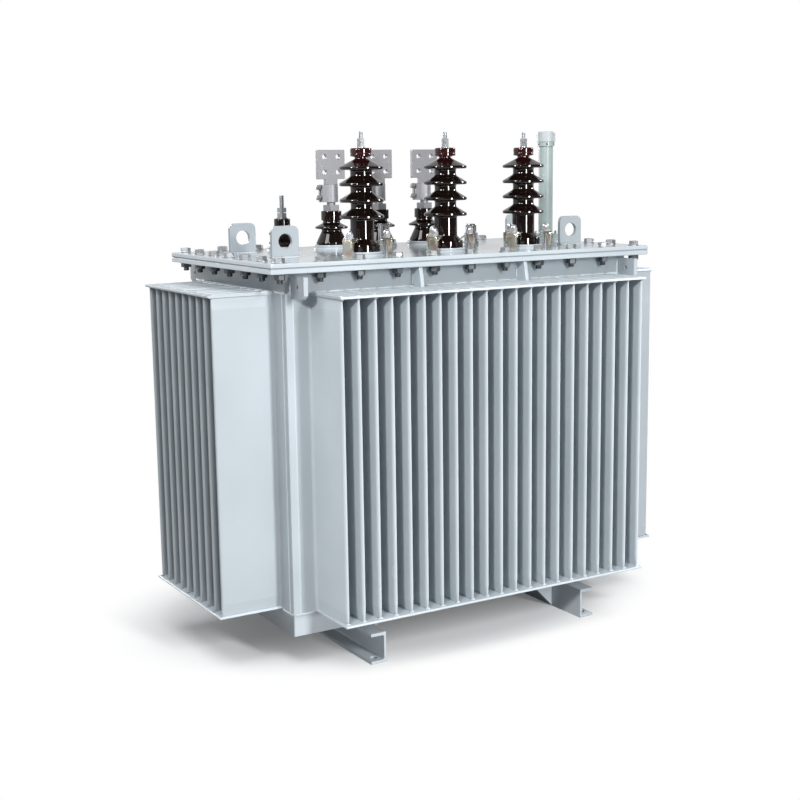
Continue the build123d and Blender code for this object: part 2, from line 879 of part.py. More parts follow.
def thermometer_pocket():
    # Pocket for a thermometer: hexagon foot, round barrel and a rim
    place = (pocket_x, pocket_y)
    with BuildPart() as pocket:
        with BuildSketch(Plane.XY.offset(cover_top)):
            with Locations(place):
                RegularPolygon(pocket_hex_width / 2, hexagon_sides, major_radius=False)
        extrude(amount=pocket_hex_height)
        with BuildSketch(Plane.XY.offset(cover_top + pocket_hex_height)):
            with Locations(place):
                Circle(pocket_diameter / 2)
        extrude(amount=pocket_height)
        with BuildSketch(Plane.XY.offset(cover_top + pocket_hex_height + pocket_height)):
            with Locations(place):
                Circle(pocket_rim_diameter / 2)
        extrude(amount=pocket_rim_height)
    return pocket.part


# Rows of fins, front, right, back and left: length of the side, its distance and the fins' depth
front_row = (tank_length, half_width, front_fin_depth)
side_row = (tank_width, half_length, side_fin_depth)
fin_rows = (front_row, side_row, front_row, side_row)

# Ground frame and tank
pieces["skid_left"] = skid(-1)
pieces["skid_right"] = skid(1)
pieces["skid_gussets"] = skid_gussets()
pieces["tank_base"] = tank_base()
pieces["tank_filling"] = tank_filling()
pieces["tank_corners"] = tank_corners()

front_wall = corrugated_wall(*front_row)
side_wall = corrugated_wall(*side_row)
for quarter, name in enumerate(("front", "right", "back", "left")):
    wall = front_wall if fin_rows[quarter] == front_row else side_wall
    pieces[name + "_wall"] = turned(wall, quarter)
pieces["lower_fin_plates"] = fin_plates(lower_plate_bottom)
pieces["upper_fin_plates"] = fin_plates(fin_top)

pieces["tank_rim"] = tank_rim()
pieces["tank_flange"] = tank_flange()
pieces["cover_gasket"] = cover_gasket()
pieces["tank_cover"] = tank_cover()
pieces["flange_ribs"] = flange_ribs()
pieces["tank_hooks"] = tank_hooks()

# Lifting eyes
for depth_name, depth_side in (("front", -1), ("back", 1)):
    for side_name, side in (("left", -1), ("right", 1)):
        eye_x = side * (half_length - eye_inset_x)
        eye_y = depth_side * (half_width - eye_inset_y)
        pieces["cover_eye_" + depth_name + "_" + side_name] = cover_eye(eye_x, eye_y)

# Bushings and terminals
pieces["bushing_seats"] = bushing_seats()
hv_nut = (hv_nut_width, hv_nut_height, hv_nut_gap)
hv_washer = (hv_washer_diameter, hv_washer_thickness)
hv_head_top = hv_neck_level() + hv_head_height
for number, place in enumerate(hv_places(), start=1):
    pieces["hv_bushing_" + str(number)] = hv_bushing(place)
    pieces["hv_clamps_" + str(number)] = hv_clamps(place)
    pieces["hv_terminal_" + str(number)] = stud_with_nuts(
        place, hv_head_top, hv_stud_diameter, hv_stud_length, hv_nut, hv_washer
    )
for number, place in enumerate(lv_places(), start=1):
    pieces["lv_bushing_" + str(number)] = lv_bushing(place)
    pieces["lv_terminal_" + str(number)] = lv_terminal(place)
pieces["neutral_bushing"] = neutral_bushing(neutral_place())
neutral_nut = (neutral_nut_width, neutral_nut_height, neutral_nut_gap)
neutral_washer = (neutral_washer_diameter, neutral_washer_thickness)
neutral_top = neutral_cap_level() + neutral_cap_height
pieces["neutral_terminal"] = stud_with_nuts(
    neutral_place(), neutral_top, neutral_stud_diameter, neutral_stud_length, neutral_nut, neutral_washer
)

# Cover fittings
pieces["oil_tube"] = oil_tube()
pieces["oil_tube_cap"] = oil_tube_cap()
pieces["relief_valve"] = relief_valve()
pieces["thermometer_pocket"] = thermometer_pocket()

os.makedirs("parts", exist_ok=True)
for name, piece in pieces.items():
    piece.label = name
    export_step(piece, "parts/" + name + ".step")
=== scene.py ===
import bpy
import bmesh
import json
import math
import random
from mathutils import Matrix, Vector


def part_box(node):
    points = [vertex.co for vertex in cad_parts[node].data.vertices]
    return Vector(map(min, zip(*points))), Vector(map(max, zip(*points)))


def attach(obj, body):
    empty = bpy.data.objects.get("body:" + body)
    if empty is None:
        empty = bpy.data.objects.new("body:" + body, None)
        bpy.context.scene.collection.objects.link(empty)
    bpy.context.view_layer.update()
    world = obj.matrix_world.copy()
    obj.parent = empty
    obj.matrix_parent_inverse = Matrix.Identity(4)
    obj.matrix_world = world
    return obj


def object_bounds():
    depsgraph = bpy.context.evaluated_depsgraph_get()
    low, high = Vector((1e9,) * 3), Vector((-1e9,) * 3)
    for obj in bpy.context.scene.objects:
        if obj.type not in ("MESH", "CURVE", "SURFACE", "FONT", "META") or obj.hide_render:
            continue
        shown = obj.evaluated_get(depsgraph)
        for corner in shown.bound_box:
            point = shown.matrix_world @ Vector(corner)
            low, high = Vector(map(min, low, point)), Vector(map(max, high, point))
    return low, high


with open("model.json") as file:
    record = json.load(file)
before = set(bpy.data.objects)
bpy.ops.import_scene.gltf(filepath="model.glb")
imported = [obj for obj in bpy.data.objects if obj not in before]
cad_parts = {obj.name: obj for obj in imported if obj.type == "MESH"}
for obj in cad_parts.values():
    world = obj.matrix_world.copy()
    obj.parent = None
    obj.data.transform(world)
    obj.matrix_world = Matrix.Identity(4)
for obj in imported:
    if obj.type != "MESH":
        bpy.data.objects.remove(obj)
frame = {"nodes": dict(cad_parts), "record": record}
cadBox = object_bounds()  # box of the bare CAD part
nodes = frame["nodes"]
subparts = frame["record"]["subparts"]
print("frame loaded:", len(nodes), "nodes")

mm = 0.001  # scene units are metres
up = Vector((0, 0, 1))
phases = (1, 2, 3)  # numbers of the high voltage and of the low voltage bushings
sharpAngle = math.radians(38)  # folds sharper than this keep a crisp edge
colourA, colourB, colourOut = 6, 7, 2  # sockets of a Mix node that carry colours
floatA, floatB = 2, 3  # and those that carry plain numbers


def hexColour(code):  # sRGB hex to linear RGBA
    parts = [int(code[i:i + 2], 16) / 255 for i in (1, 3, 5)]
    return [p / 12.92 if p <= 0.04045 else ((p + 0.055) / 1.055) ** 2.4 for p in parts] + [1]


def addNode(tree, kind, settings=None, links=None):  # one node, its settings and what feeds it
    node = tree.nodes.new("ShaderNode" + kind)
    for key, value in (settings or {}).items():
        if isinstance(key, str) and hasattr(node, key):
            setattr(node, key, value)
        else:
            node.inputs[key].default_value = value
    for key, source in (links or {}).items():
        tree.links.new(source, node.inputs[key])
    return node


def startMaterial(name):
    material = bpy.data.materials.new(name)
    material.use_nodes = True
    tree = material.node_tree
    return material, tree, tree.nodes["Principled BSDF"]


# Sprayed alkyd enamel on sheet steel: glossy pale blue-grey, faint waves in the sheet, soft edges
paintLook = {
    "name": "sprayedTankEnamel", "pale": "#B7BFC5", "deep": "#AFB8BE", "ior": 1.5,
    "cloud": 260 * mm, "cloudLow": 0.35, "cloudHigh": 0.65, "roughLow": 0.20, "roughHigh": 0.30,
    "wave": 90 * mm, "waveDepth": 0.10 * mm, "edge": 1.6 * mm,
    "peel": 5 * mm, "peelDepth": 0.012 * mm,  # orange peel, coarser than life to show
}
# The same film in other states: rubbed to a shine on the cover, dulled by dust on the plates over the fins,
# darker and greener on the oil tube, shinier over the welds and paler there as a painted highlight
coverLook = dict(paintLook, name="polishedCoverEnamel", roughLow=0.10, roughHigh=0.17)
plateLook = dict(paintLook, name="dustedPlateEnamel", roughLow=0.48, roughHigh=0.62)
# a darker and greener copy of the tank enamel
tubeLook = dict(paintLook, name="greenerTubeEnamel", pale="#9FACAB", deep="#96A4A3")
# the paler colour over the welds is a painted highlight, standing in for glints on the thick gloss
weldLook = dict(
    paintLook, name="weldEnamelPaintedGlint", pale="#C6CDD2", deep="#BEC6CB", roughLow=0.12, roughHigh=0.18
)


def enamel(look):
    material, tree, shader = startMaterial(look["name"])
    place = addNode(tree, "TexCoord").outputs["Object"]
    cloud = addNode(tree, "TexNoise", {"Scale": 1 / look["cloud"], "Detail": 3.0}, {"Vector": place})
    tone = addNode(tree, "ValToRGB", {}, {"Fac": cloud.outputs["Fac"]})
    tone.color_ramp.elements[0].position = look["cloudLow"]
    tone.color_ramp.elements[0].color = hexColour(look["deep"])
    tone.color_ramp.elements[1].position = look["cloudHigh"]
    tone.color_ramp.elements[1].color = hexColour(look["pale"])
    rough = addNode(
        tree, "MapRange", {"To Min": look["roughLow"], "To Max": look["roughHigh"]},
        {"Value": cloud.outputs["Fac"]},
    )
    edge = addNode(tree, "Bevel", {"samples": 4, "Radius": look["edge"]})
    wave = addNode(tree, "TexNoise", {"Scale": 1 / look["wave"], "Detail": 1.0}, {"Vector": place})
    waves = addNode(
        tree, "Bump", {"Strength": 1.0, "Distance": look["waveDepth"]},
        {"Height": wave.outputs["Fac"], "Normal": edge.outputs["Normal"]},
    )
    peel = addNode(tree, "TexNoise", {"Scale": 1 / look["peel"], "Detail": 2.0}, {"Vector": place})
    peels = addNode(
        tree, "Bump", {"Strength": 1.0, "Distance": look["peelDepth"]},
        {"Height": peel.outputs["Fac"], "Normal": waves.outputs["Normal"]},
    )
    shader.inputs["IOR"].default_value = look["ior"]
    tree.links.new(tone.outputs["Color"], shader.inputs["Base Color"])
    tree.links.new(rough.outputs["Result"], shader.inputs["Roughness"])
    tree.links.new(peels.outputs["Normal"], shader.inputs["Normal"])
    return material


# Glazed porcelain, fired brown: near black body, wet gloss, glaze thins to red on the head
porcelainLook = {
    "dark": "#070403", "brown": "#0D0605", "red": "#200708", "cloud": 22 * mm, "rough": 0.03, "ior": 1.52,
    "ripple": 14 * mm, "rippleDepth": 0.10 * mm, "redFade": 26 * mm, "redShare": 0.8, "headHeight": 20 * mm,
}


def brownPorcelain():
    look = porcelainLook
    material, tree, shader = startMaterial("glazedBrownPorcelain")
    place = addNode(tree, "TexCoord").outputs["Object"]
    cloud = addNode(tree, "TexNoise", {"Scale": 1 / look["cloud"], "Detail": 3.0}, {"Vector": place})
    tone = addNode(
        tree, "Mix",
        {"data_type": "RGBA", colourA: hexColour(look["dark"]), colourB: hexColour(look["brown"])},
        {0: cloud.outputs["Fac"]},
    )
    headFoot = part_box("hv_bushing_1")[1].z - look["headHeight"]
    height = addNode(tree, "SeparateXYZ", {}, {"Vector": place})
    fade = addNode(
        tree, "MapRange",
        {"From Min": headFoot - look["redFade"], "From Max": headFoot, "To Max": look["redShare"]},
        {"Value": height.outputs["Z"]},
    )
    glaze = addNode(
        tree, "Mix", {"data_type": "RGBA", colourB: hexColour(look["red"])},
        {0: fade.outputs["Result"], colourA: tone.outputs[colourOut]},
    )
    ripple = addNode(tree, "TexNoise", {"Scale": 1 / look["ripple"], "Detail": 1.0}, {"Vector": place})
    ripples = addNode(
        tree, "Bump", {"Strength": 1.0, "Distance": look["rippleDepth"]}, {"Height": ripple.outputs["Fac"]}
    )
    shader.inputs["Roughness"].default_value = look["rough"]
    shader.inputs["IOR"].default_value = look["ior"]
    tree.links.new(glaze.outputs[colourOut], shader.inputs["Base Color"])
    tree.links.new(ripples.outputs["Normal"], shader.inputs["Normal"])
    return material


# Metals: one recipe, a cloudy two-tone plating with grain in its gloss
metalLooks = {
    "zinc_steel": {  # bright zinc plating, clear passivated: silver, slightly mottled
        "name": "clearZincPlating", "low": "#9DA0A3", "high": "#BBBEC1", "grain": 4 * mm,
        "roughLow": 0.34, "roughHigh": 0.46, "depth": 0.010 * mm, "metallic": 1.0, "edge": 0.8 * mm,
    },
    "yellow_zinc": {  # yellow passivated zinc: straw with a pink and green bloom
        "name": "yellowZincPlating", "low": "#E2DBD0", "high": "#EAE9D4", "grain": 18 * mm,
        "roughLow": 0.09, "roughHigh": 0.14, "depth": 0.004 * mm, "metallic": 1.0, "edge": 8 * mm,
        "bloom": "#D6B9AE", "bloomLow": 0.5, "bloomHigh": 0.75, "drift": 22.5 * mm,
    },
    "bright": {  # barrel polished zinc on the domed nuts: white silver
        "name": "polishedZincPlating", "low": "#C2C5CA", "high": "#D6D8DD", "grain": 5 * mm,
        "roughLow": 0.24, "roughHigh": 0.34, "depth": 0.006 * mm, "metallic": 0.85, "edge": 0.8 * mm,
    },
    "dull": {  # the same plating, darker here as painted shade under the flange: flat grey
        "name": "zincPlatingPaintedShade", "low": "#4C5053", "high": "#6E7275", "grain": 4 * mm,
        "roughLow": 0.36, "roughHigh": 0.50, "depth": 0.010 * mm, "metallic": 1.0, "edge": 0.8 * mm,
    },
    "tinned_metal": {  # tin plated brass casting: dull flat grey, fine cast grain
        "name": "tinnedBrassCasting", "low": "#8B8B8F", "high": "#99999D", "grain": 6 * mm,
        "roughLow": 0.46, "roughHigh": 0.58, "depth": 0.020 * mm, "metallic": 0.75, "edge": 1.0 * mm,
    },
    "chrome_fittings": {  # polished chrome plate: clear mirror
        "name": "polishedChromePlate", "low": "#CDD0D3", "high": "#DDDFE1", "grain": 10 * mm,
        "roughLow": 0.06, "roughHigh": 0.12, "depth": 0.004 * mm, "metallic": 1.0, "edge": 0.8 * mm,
    },
    "thread": {  # rolled thread with a film of grease: dark grey steel
        "name": "greasedThread", "low": "#55585A", "high": "#77797B", "grain": 3 * mm,
        "roughLow": 0.34, "roughHigh": 0.48, "depth": 0.010 * mm, "metallic": 1.0, "edge": 0.3 * mm,
    },
    "inner_mass": {  # oiled dark steel: the core closed in the tank, and the grub screws
        "name": "oiledCoreSteel", "low": "#3A3733", "high": "#4A4640", "grain": 8 * mm,
        "roughLow": 0.40, "roughHigh": 0.55, "depth": 0.020 * mm, "metallic": 1.0, "edge": 1.0 * mm,
    },
}


def platedMetal(look):
    material, tree, shader = startMaterial(look["name"])
    place = addNode(tree, "TexCoord").outputs["Object"]
    grain = addNode(tree, "TexNoise", {"Scale": 1 / look["grain"], "Detail": 4.0}, {"Vector": place})
    tone = addNode(
        tree, "Mix", {"data_type": "RGBA", colourA: hexColour(look["low"]), colourB: hexColour(look["high"])},
        {0: grain.outputs["Fac"]},
    )
    if "bloom" in look:  # a second colour in drifting patches
        drift = addNode(tree, "TexNoise", {"Scale": 1 / look["drift"], "Detail": 1.0}, {"Vector": place})
        patch = addNode(
            tree, "MapRange", {"From Min": look["bloomLow"], "From Max": look["bloomHigh"]},
            {"Value": drift.outputs["Fac"]},
        )
        tone = addNode(
            tree, "Mix", {"data_type": "RGBA", colourB: hexColour(look["bloom"])},
            {0: patch.outputs["Result"], colourA: tone.outputs[colourOut]},
        )
    rough = addNode(
        tree, "MapRange", {"To Min": look["roughLow"], "To Max": look["roughHigh"]},
        {"Value": grain.outputs["Fac"]},
    )
    bend = addNode(tree, "Bevel", {"Radius": look["edge"]})
    bump = addNode(
        tree, "Bump", {"Strength": 1.0, "Distance": look["depth"]},
        {"Height": grain.outputs["Fac"], "Normal": bend.outputs["Normal"]},
    )
    shader.inputs["Metallic"].default_value = look["metallic"]
    tree.links.new(tone.outputs[colourOut], shader.inputs["Base Color"])
    tree.links.new(rough.outputs["Result"], shader.inputs["Roughness"])
    tree.links.new(bump.outputs["Normal"], shader.inputs["Normal"])
    return material


# Soft materials: moulded polyethylene cap and cork-rubber sheet gasket
softLooks = {
    "cap_plastic": {  # milky white moulding, waxy, lets a little light in
        "name": "mouldedPolyethylene", "low": "#A3AAAC", "high": "#AFB6B8", "grain": 9 * mm,
        "rough": 0.42, "ior": 1.51, "depth": 0.02 * mm, "milk": 0.15, "milkDepth": 4 * mm,
    },
    "gasket_rubber": {  # pressed cork-rubber: grey, dry and speckled
        "name": "corkRubberSheet", "low": "#7F868A", "high": "#979EA2", "grain": 3 * mm,
        "rough": 0.82, "ior": 1.52, "depth": 0.10 * mm, "milk": 0.0, "milkDepth": 4 * mm,
    },
}


def softMaterial(look):
    material, tree, shader = startMaterial(look["name"])
    place = addNode(tree, "TexCoord").outputs["Object"]
    grain = addNode(tree, "TexNoise", {"Scale": 1 / look["grain"], "Detail": 3.0}, {"Vector": place})
    tone = addNode(
        tree, "Mix", {"data_type": "RGBA", colourA: hexColour(look["low"]), colourB: hexColour(look["high"])},
        {0: grain.outputs["Fac"]},
    )
    bump = addNode(
        tree, "Bump", {"Strength": 1.0, "Distance": look["depth"]}, {"Height": grain.outputs["Fac"]}
    )
    shader.inputs["Roughness"].default_value = look["rough"]
    shader.inputs["IOR"].default_value = look["ior"]
    shader.inputs["Subsurface Weight"].default_value = look["milk"]
    shader.inputs["Subsurface Scale"].default_value = look["milkDepth"]
    tree.links.new(tone.outputs[colourOut], shader.inputs["Base Color"])
    tree.links.new(bump.outputs["Normal"], shader.inputs["Normal"])
    return material


finishes = {"tank_paint": enamel(paintLook), "weld": enamel(weldLook), "brown_porcelain": brownPorcelain()}
finishes.update({slot: platedMetal(look) for slot, look in metalLooks.items()})
finishes.update({slot: softMaterial(look) for slot, look in softLooks.items()})
ownLooks = {"oil_tube": tubeLook, "tank_cover": coverLook, "upper_fin_plates": plateLook}
ownFinishes = {node: enamel(look) for node, look in ownLooks.items()}
for part in subparts:
    skins = nodes[part["node"]].data.materials
    finish = ownFinishes.get(part["node"], finishes[part["material_slot"]])
    if len(skins):
        skins[0] = finish
    else:
        skins.append(finish)
print("materials:", len(finishes) + len(ownFinishes))


pieces = {}


def makePiece(name, form, slot, finish=None):  # a bmesh becomes a piece that rides on the tank
    bmesh.ops.recalc_face_normals(form, faces=form.faces)
    mesh = bpy.data.meshes.new(name)
    form.to_mesh(mesh)
    form.free()
    mesh.polygons.foreach_set("use_smooth", [True] * len(mesh.polygons))
    mesh.set_sharp_from_angle(angle=sharpAngle)
    mesh.materials.append(finishes[finish or slot])
    piece = bpy.data.objects.new(name, mesh)
    bpy.context.scene.collection.objects.link(piece)
    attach(piece, "root")
    pieces[name] = piece


def skinRings(form, rings, place, closed=False):  # walls between rings of points, with end caps
    rows = [[form.verts.new(place @ Vector(p)) for p in ring] for ring in rings]
    count = len(rows[0])
    pairs = list(zip(rows, rows[1:])) + ([(rows[-1], rows[0])] if closed else [])
    for low, high in pairs:
        for i in range(count):
            j = (i + 1) % count
            form.faces.new((low[i], low[j], high[j], high[i]))
    if not closed:
        form.faces.new(rows[0])
        form.faces.new(rows[-1])


# What bolts, nuts and washers share: sides of their rings, chamfered heads, eased edges, domes
turned = {
    "sides": 24, "hexSides": 36, "threadSides": 20, "chamfer": math.radians(30), "faceShare": 0.95,
    "ease": 0.3 * mm, "domeSteps": 6, "domeShare": 0.96,
}


def roundRing(radius, height, count=turned["sides"]):
    turns = [2 * math.pi * i / count for i in range(count)]
    return [(radius * math.cos(t), radius * math.sin(t), height) for t in turns]


def hexRing(width, height, crown=0.0):  # crown lowers the corners as a turned chamfer does
    count = turned["hexSides"]
    points = []
    for i in range(count):
        turn = 2 * math.pi * i / count
        radius = width / 2 / math.cos((turn + math.pi / 6) % (math.pi / 3) - math.pi / 6)
        drop = (radius - width / 2) * math.tan(crown)
        points.append((radius * math.cos(turn), radius * math.sin(turn), height - drop))
    return points


def addHexHead(form, place, width, bottom, height):
    top = bottom + height
    face = width / 2 * turned["faceShare"]
    chamfer = turned["chamfer"]
    skinRings(form, [
        hexRing(width, bottom), hexRing(width, top - (width / 2 - face) * math.tan(chamfer), chamfer),
        roundRing(face, top, turned["hexSides"]),
    ], place)


def addDisc(form, place, radius, bottom, height, ease=turned["ease"]):
    top = bottom + height
    skinRings(form, [
        roundRing(radius - ease, bottom), roundRing(radius, bottom + ease),
        roundRing(radius, top - ease), roundRing(radius - ease, top),
    ], place)


def addThread(form, place, radius, bottom, height, pitch, depth):  # thread crests as close rings
    sides = turned["threadSides"]
    rings = [roundRing(radius - depth, bottom, sides)]
    for i in range(int(height / pitch)):
        level = bottom + i * pitch
        rings.append(roundRing(radius, level + pitch / 2, sides))
        rings.append(roundRing(radius - depth, level + pitch, sides))
    rings.append(roundRing(radius - 2 * depth, bottom + height, sides))
    skinRings(form, rings, place)


def addDome(form, place, radius, bottom):  # stops just short of its pole
    steps = turned["domeSteps"]
    rings = []
    for i in range(steps + 1):
        lift = turned["domeShare"] * math.pi / 2 * i / steps
        rings.append(roundRing(radius * math.cos(lift), bottom + radius * math.sin(lift)))
    skinRings(form, rings, place)


def standing(x, y, z=0.0, turn=0.0):
    return Matrix.Translation((x, y, z)) @ Matrix.Rotation(turn, 4, "Z")


def hanging(x, y, z, turn=0.0):  # the same upside down
    return standing(x, y, z, turn) @ Matrix.Rotation(math.pi, 4, "X")


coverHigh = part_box("tank_cover")[1]
coverTop = coverHigh.z
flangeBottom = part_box("tank_flange")[0].z
rimLow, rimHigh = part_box("tank_rim")
dice = random.Random(7)

# Bolts round the cover, heads above and nuts under the flange
coverBolts = {
    "longCount": 11, "shortCount": 7, "longInset": 24 * mm, "shortInset": 33 * mm,
    "head": 24 * mm, "headHeight": 10 * mm, "nut": 24 * mm, "nutHeight": 12 * mm,
    "washer": 15 * mm, "lowerWasher": 13.8 * mm, "washerHeight": 2.5 * mm,
    "shank": 7.8 * mm, "end": 9 * mm, "pitch": 2 * mm, "threadDepth": 0.7 * mm,
}


def spread(reach, count):  # even places from one end to the other
    return [reach * (2 * i / (count - 1) - 1) for i in range(count)]


def coverBoltPlaces():
    reachX = coverHigh.x - coverBolts["shortInset"]
    reachY = coverHigh.y - coverBolts["longInset"]
    places = [(x, side * reachY) for x in spread(reachX, coverBolts["longCount"]) for side in (-1, 1)]
    between = spread(reachY, coverBolts["shortCount"])[1:-1]  # the corners are taken
    return places + [(side * reachX, y) for y in between for side in (-1, 1)]


def buildCoverBolts():
    size = coverBolts
    heads, nuts = bmesh.new(), bmesh.new()
    for x, y in coverBoltPlaces():
        above = standing(x, y, coverTop, dice.uniform(0, math.pi))
        addDisc(heads, above, size["washer"], 0.0, size["washerHeight"])
        addHexHead(heads, above, size["head"], size["washerHeight"], size["headHeight"])
        below = hanging(x, y, flangeBottom, dice.uniform(0, math.pi))
        nutEnd = size["washerHeight"] + size["nutHeight"]
        addDisc(nuts, below, size["lowerWasher"], 0.0, size["washerHeight"])
        addHexHead(nuts, below, size["nut"], size["washerHeight"], size["nutHeight"])
        addThread(nuts, below, size["shank"], nutEnd, size["end"], size["pitch"], size["threadDepth"])
    makePiece("cover_bolt_heads", heads, "zinc_steel")
    # nuts under the flange take the darker plating, a painted shade
    makePiece("cover_bolt_nuts", nuts, "zinc_steel", "dull")


buildCoverBolts()
print("cover bolts:", len(coverBoltPlaces()))

# Studs, washers and domed nuts that hold the clamps of the high voltage bushings
clampBolts = {
    "count": 3, "firstTurn": 90, "radius": 62 * mm, "stud": 5.8 * mm, "washer": 11 * mm,
    "washerHeight": 2.5 * mm, "nut": 18 * mm, "nutHeight": 9 * mm, "dome": 7.4 * mm, "domeRise": 2 * mm,
}


def buildClampBolts():
    size = clampBolts
    for number in phases:
        low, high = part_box(f"hv_bushing_{number}")
        centre = (low + high) / 2
        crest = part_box(f"hv_clamps_{number}")[1].z
        form = bmesh.new()
        for i in range(size["count"]):
            turn = math.radians(size["firstTurn"] + 360 * i / size["count"])
            x = centre.x + size["radius"] * math.cos(turn)
            y = centre.y + size["radius"] * math.sin(turn)
            place = standing(x, y, crest, turn)
            nutTop = size["washerHeight"] + size["nutHeight"]
            addDisc(form, place, size["stud"], coverTop - crest, crest - coverTop + size["washerHeight"])
            addDisc(form, place, size["washer"], 0.0, size["washerHeight"])
            addHexHead(form, place, size["nut"], size["washerHeight"], size["nutHeight"])
            addDisc(form, place, size["dome"], nutTop, size["domeRise"])
            addDome(form, place, size["dome"], nutTop + size["domeRise"])
        makePiece(f"hv_clamp_bolts_{number}", form, "zinc_steel", "bright")


buildClampBolts()

# Threads on the studs of the high voltage and neutral bushings
studThreads = {
    "depth": 0.6 * mm, "pitch": 1.75 * mm,
    "hv": {"radius": 5.3 * mm, "free": 16.5 * mm}, "neutral": {"radius": 6.3 * mm, "free": 33 * mm},
}


def buildStudThreads():
    size = studThreads
    studs = {f"hv_terminal_{number}": size["hv"] for number in phases}
    studs["neutral_terminal"] = size["neutral"]
    for name, stud in studs.items():
        low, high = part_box(name)
        form = bmesh.new()
        place = standing((low.x + high.x) / 2, (low.y + high.y) / 2, high.z)
        addThread(form, place, stud["radius"], -stud["free"], stud["free"], size["pitch"], size["depth"])
        makePiece(name.replace("terminal", "stud_thread"), form, "zinc_steel", "thread")


buildStudThreads()

# Screws that close the clamp barrels of the low voltage flags
barrelScrews = {
    "barrelStart": 24 * mm, "barrelHeight": 48 * mm, "spacing": 28 * mm, "lift": 2.5 * mm,
    "reach": 32 * mm, "shank": 4 * mm, "gap": 3 * mm,
    "washer": 8 * mm, "washerHeight": 1.6 * mm, "head": 13 * mm, "headHeight": 7 * mm,
}


def buildBarrelScrews():
    size = barrelScrews
    for number in phases:
        low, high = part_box(f"lv_terminal_{number}")
        x = (low.x + high.x) / 2 - size["reach"]
        y = (low.y + high.y) / 2
        middle = low.z + size["barrelStart"] + size["barrelHeight"] / 2 + size["lift"]
        form = bmesh.new()
        for side in (-1, 1):
            spot = Vector((x, y, middle + side * size["spacing"] / 2))
            place = Matrix.Translation(spot) @ Matrix.Rotation(-math.pi / 2, 4, "Y")
            addDisc(form, place, size["shank"], 0.0, size["gap"])
            addDisc(form, place, size["washer"], size["gap"], size["washerHeight"])
            addHexHead(form, place, size["head"], size["gap"] + size["washerHeight"], size["headHeight"])
        makePiece(f"lv_barrel_screws_{number}", form, "tinned_metal")


buildBarrelScrews()

# Bolts on the foot of the oil tube and grub screws in its collar
tubeBolts = {
    "count": 4, "circle": 33 * mm, "footHeight": 12 * mm,
    "head": 13 * mm, "headHeight": 7 * mm, "washer": 8 * mm, "washerHeight": 1.6 * mm,
    "collar": 25 * mm, "collarHeight": 13 * mm,
    "screwCount": 6, "screw": 2.4 * mm, "screwHeight": 0.8 * mm, "screwEase": 0.2 * mm,
}


def buildTubeBolts():
    size = tubeBolts
    low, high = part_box("oil_tube")
    centre = (low + high) / 2
    bolts, screws = bmesh.new(), bmesh.new()
    for i in range(size["count"]):
        turn = 2 * math.pi * (i + 0.5) / size["count"]
        x = centre.x + size["circle"] * math.cos(turn)
        y = centre.y + size["circle"] * math.sin(turn)
        place = standing(x, y, low.z + size["footHeight"], turn)
        addDisc(bolts, place, size["washer"], 0.0, size["washerHeight"])
        addHexHead(bolts, place, size["head"], size["washerHeight"], size["headHeight"])
    height = size["screwHeight"]
    for i in range(size["screwCount"]):
        spin = Matrix.Rotation(2 * math.pi * i / size["screwCount"], 4, "Z")
        outward = Matrix.Translation((size["collar"], 0, 0)) @ Matrix.Rotation(math.pi / 2, 4, "Y")
        place = Matrix.Translation((centre.x, centre.y, high.z - size["collarHeight"] / 2)) @ spin @ outward
        addDisc(screws, place, size["screw"], -height, 2 * height, size["screwEase"])
    makePiece("oil_tube_bolts", bolts, "zinc_steel")
    makePiece("oil_tube_grub_screws", screws, "inner_mass")


buildTubeBolts()
print("bolts and screws done")

# Weld beads: a rippled run of metal in a corner, painted over
welds = {
    "step": 3 * mm, "ripple": 0.16, "rippleTurn": 2.1, "wander": 0.10, "arc": 5,
    "hollowShare": 0.80, "rootShare": 0.2, "blobRings": 7, "tipShare": 0.2,
}


def filletSection(leg):  # bead in an inside corner, its root sunk into both faces
    arc = [math.pi / 2 * i / welds["arc"] for i in range(welds["arc"] + 1)]
    hollow = welds["hollowShare"]
    bulge = [(leg * (1 - hollow * math.sin(t)), leg * (1 - hollow * math.cos(t))) for t in arc]
    root = -welds["rootShare"] * leg
    return [(root, root), (leg, root)] + bulge[::-1] + [(root, leg)]


def ridgeSection(width, height):  # low bead on a flat face
    arc = [math.pi * i / (welds["arc"] + 2) for i in range(welds["arc"] + 3)]
    crest = [(width / 2 * math.cos(t), height * math.sin(t)) for t in arc]
    return crest + [(-width / 2, -height), (width / 2, -height)]


def addBead(form, path, section, closed=False):  # path: points with the two directions of the section
    rings = []
    for i, (point, across, rise) in enumerate(path):
        ripple = welds["ripple"] * math.sin(i * welds["rippleTurn"])
        swell = 1 + ripple + dice.uniform(-1, 1) * welds["wander"]
        rings.append([point + across * (a * swell) + rise * (b * swell) for a, b in section])
    skinRings(form, rings, Matrix.Identity(4), closed)


def addBlob(form, spot, along, across, rise, length, section):  # short bead, thin at both ends
    count = welds["blobRings"]
    tip = welds["tipShare"]
    rings = []
    for i in range(count):
        t = 2 * i / (count - 1) - 1
        swell = tip + (1 - tip) * math.sqrt(1 - t * t)
        middle = spot + along * (t * length / 2)
        rings.append([middle + across * (a * swell) + rise * (b * swell) for a, b in section])
    skinRings(form, rings, Matrix.Identity(4), False)


def straight(start, end, across, rise, step):
    start, end = Vector(start), Vector(end)
    count = max(2, int((end - start).length / step))
    return [(start.lerp(end, i / count), Vector(across), Vector(rise)) for i in range(count + 1)]


def around(x, y, z, radius, step):
    count = int(2 * math.pi * radius / step)
    turns = [2 * math.pi * i / count for i in range(count)]
    rows = []
    for t in turns:
        out = Vector((math.cos(t), math.sin(t), 0))
        rows.append((Vector((x, y, z)) + out * radius, out, up))
    return rows


def vary(size, limits):  # a hand-made size, between two shares of the nominal one
    return size * dice.uniform(*limits)


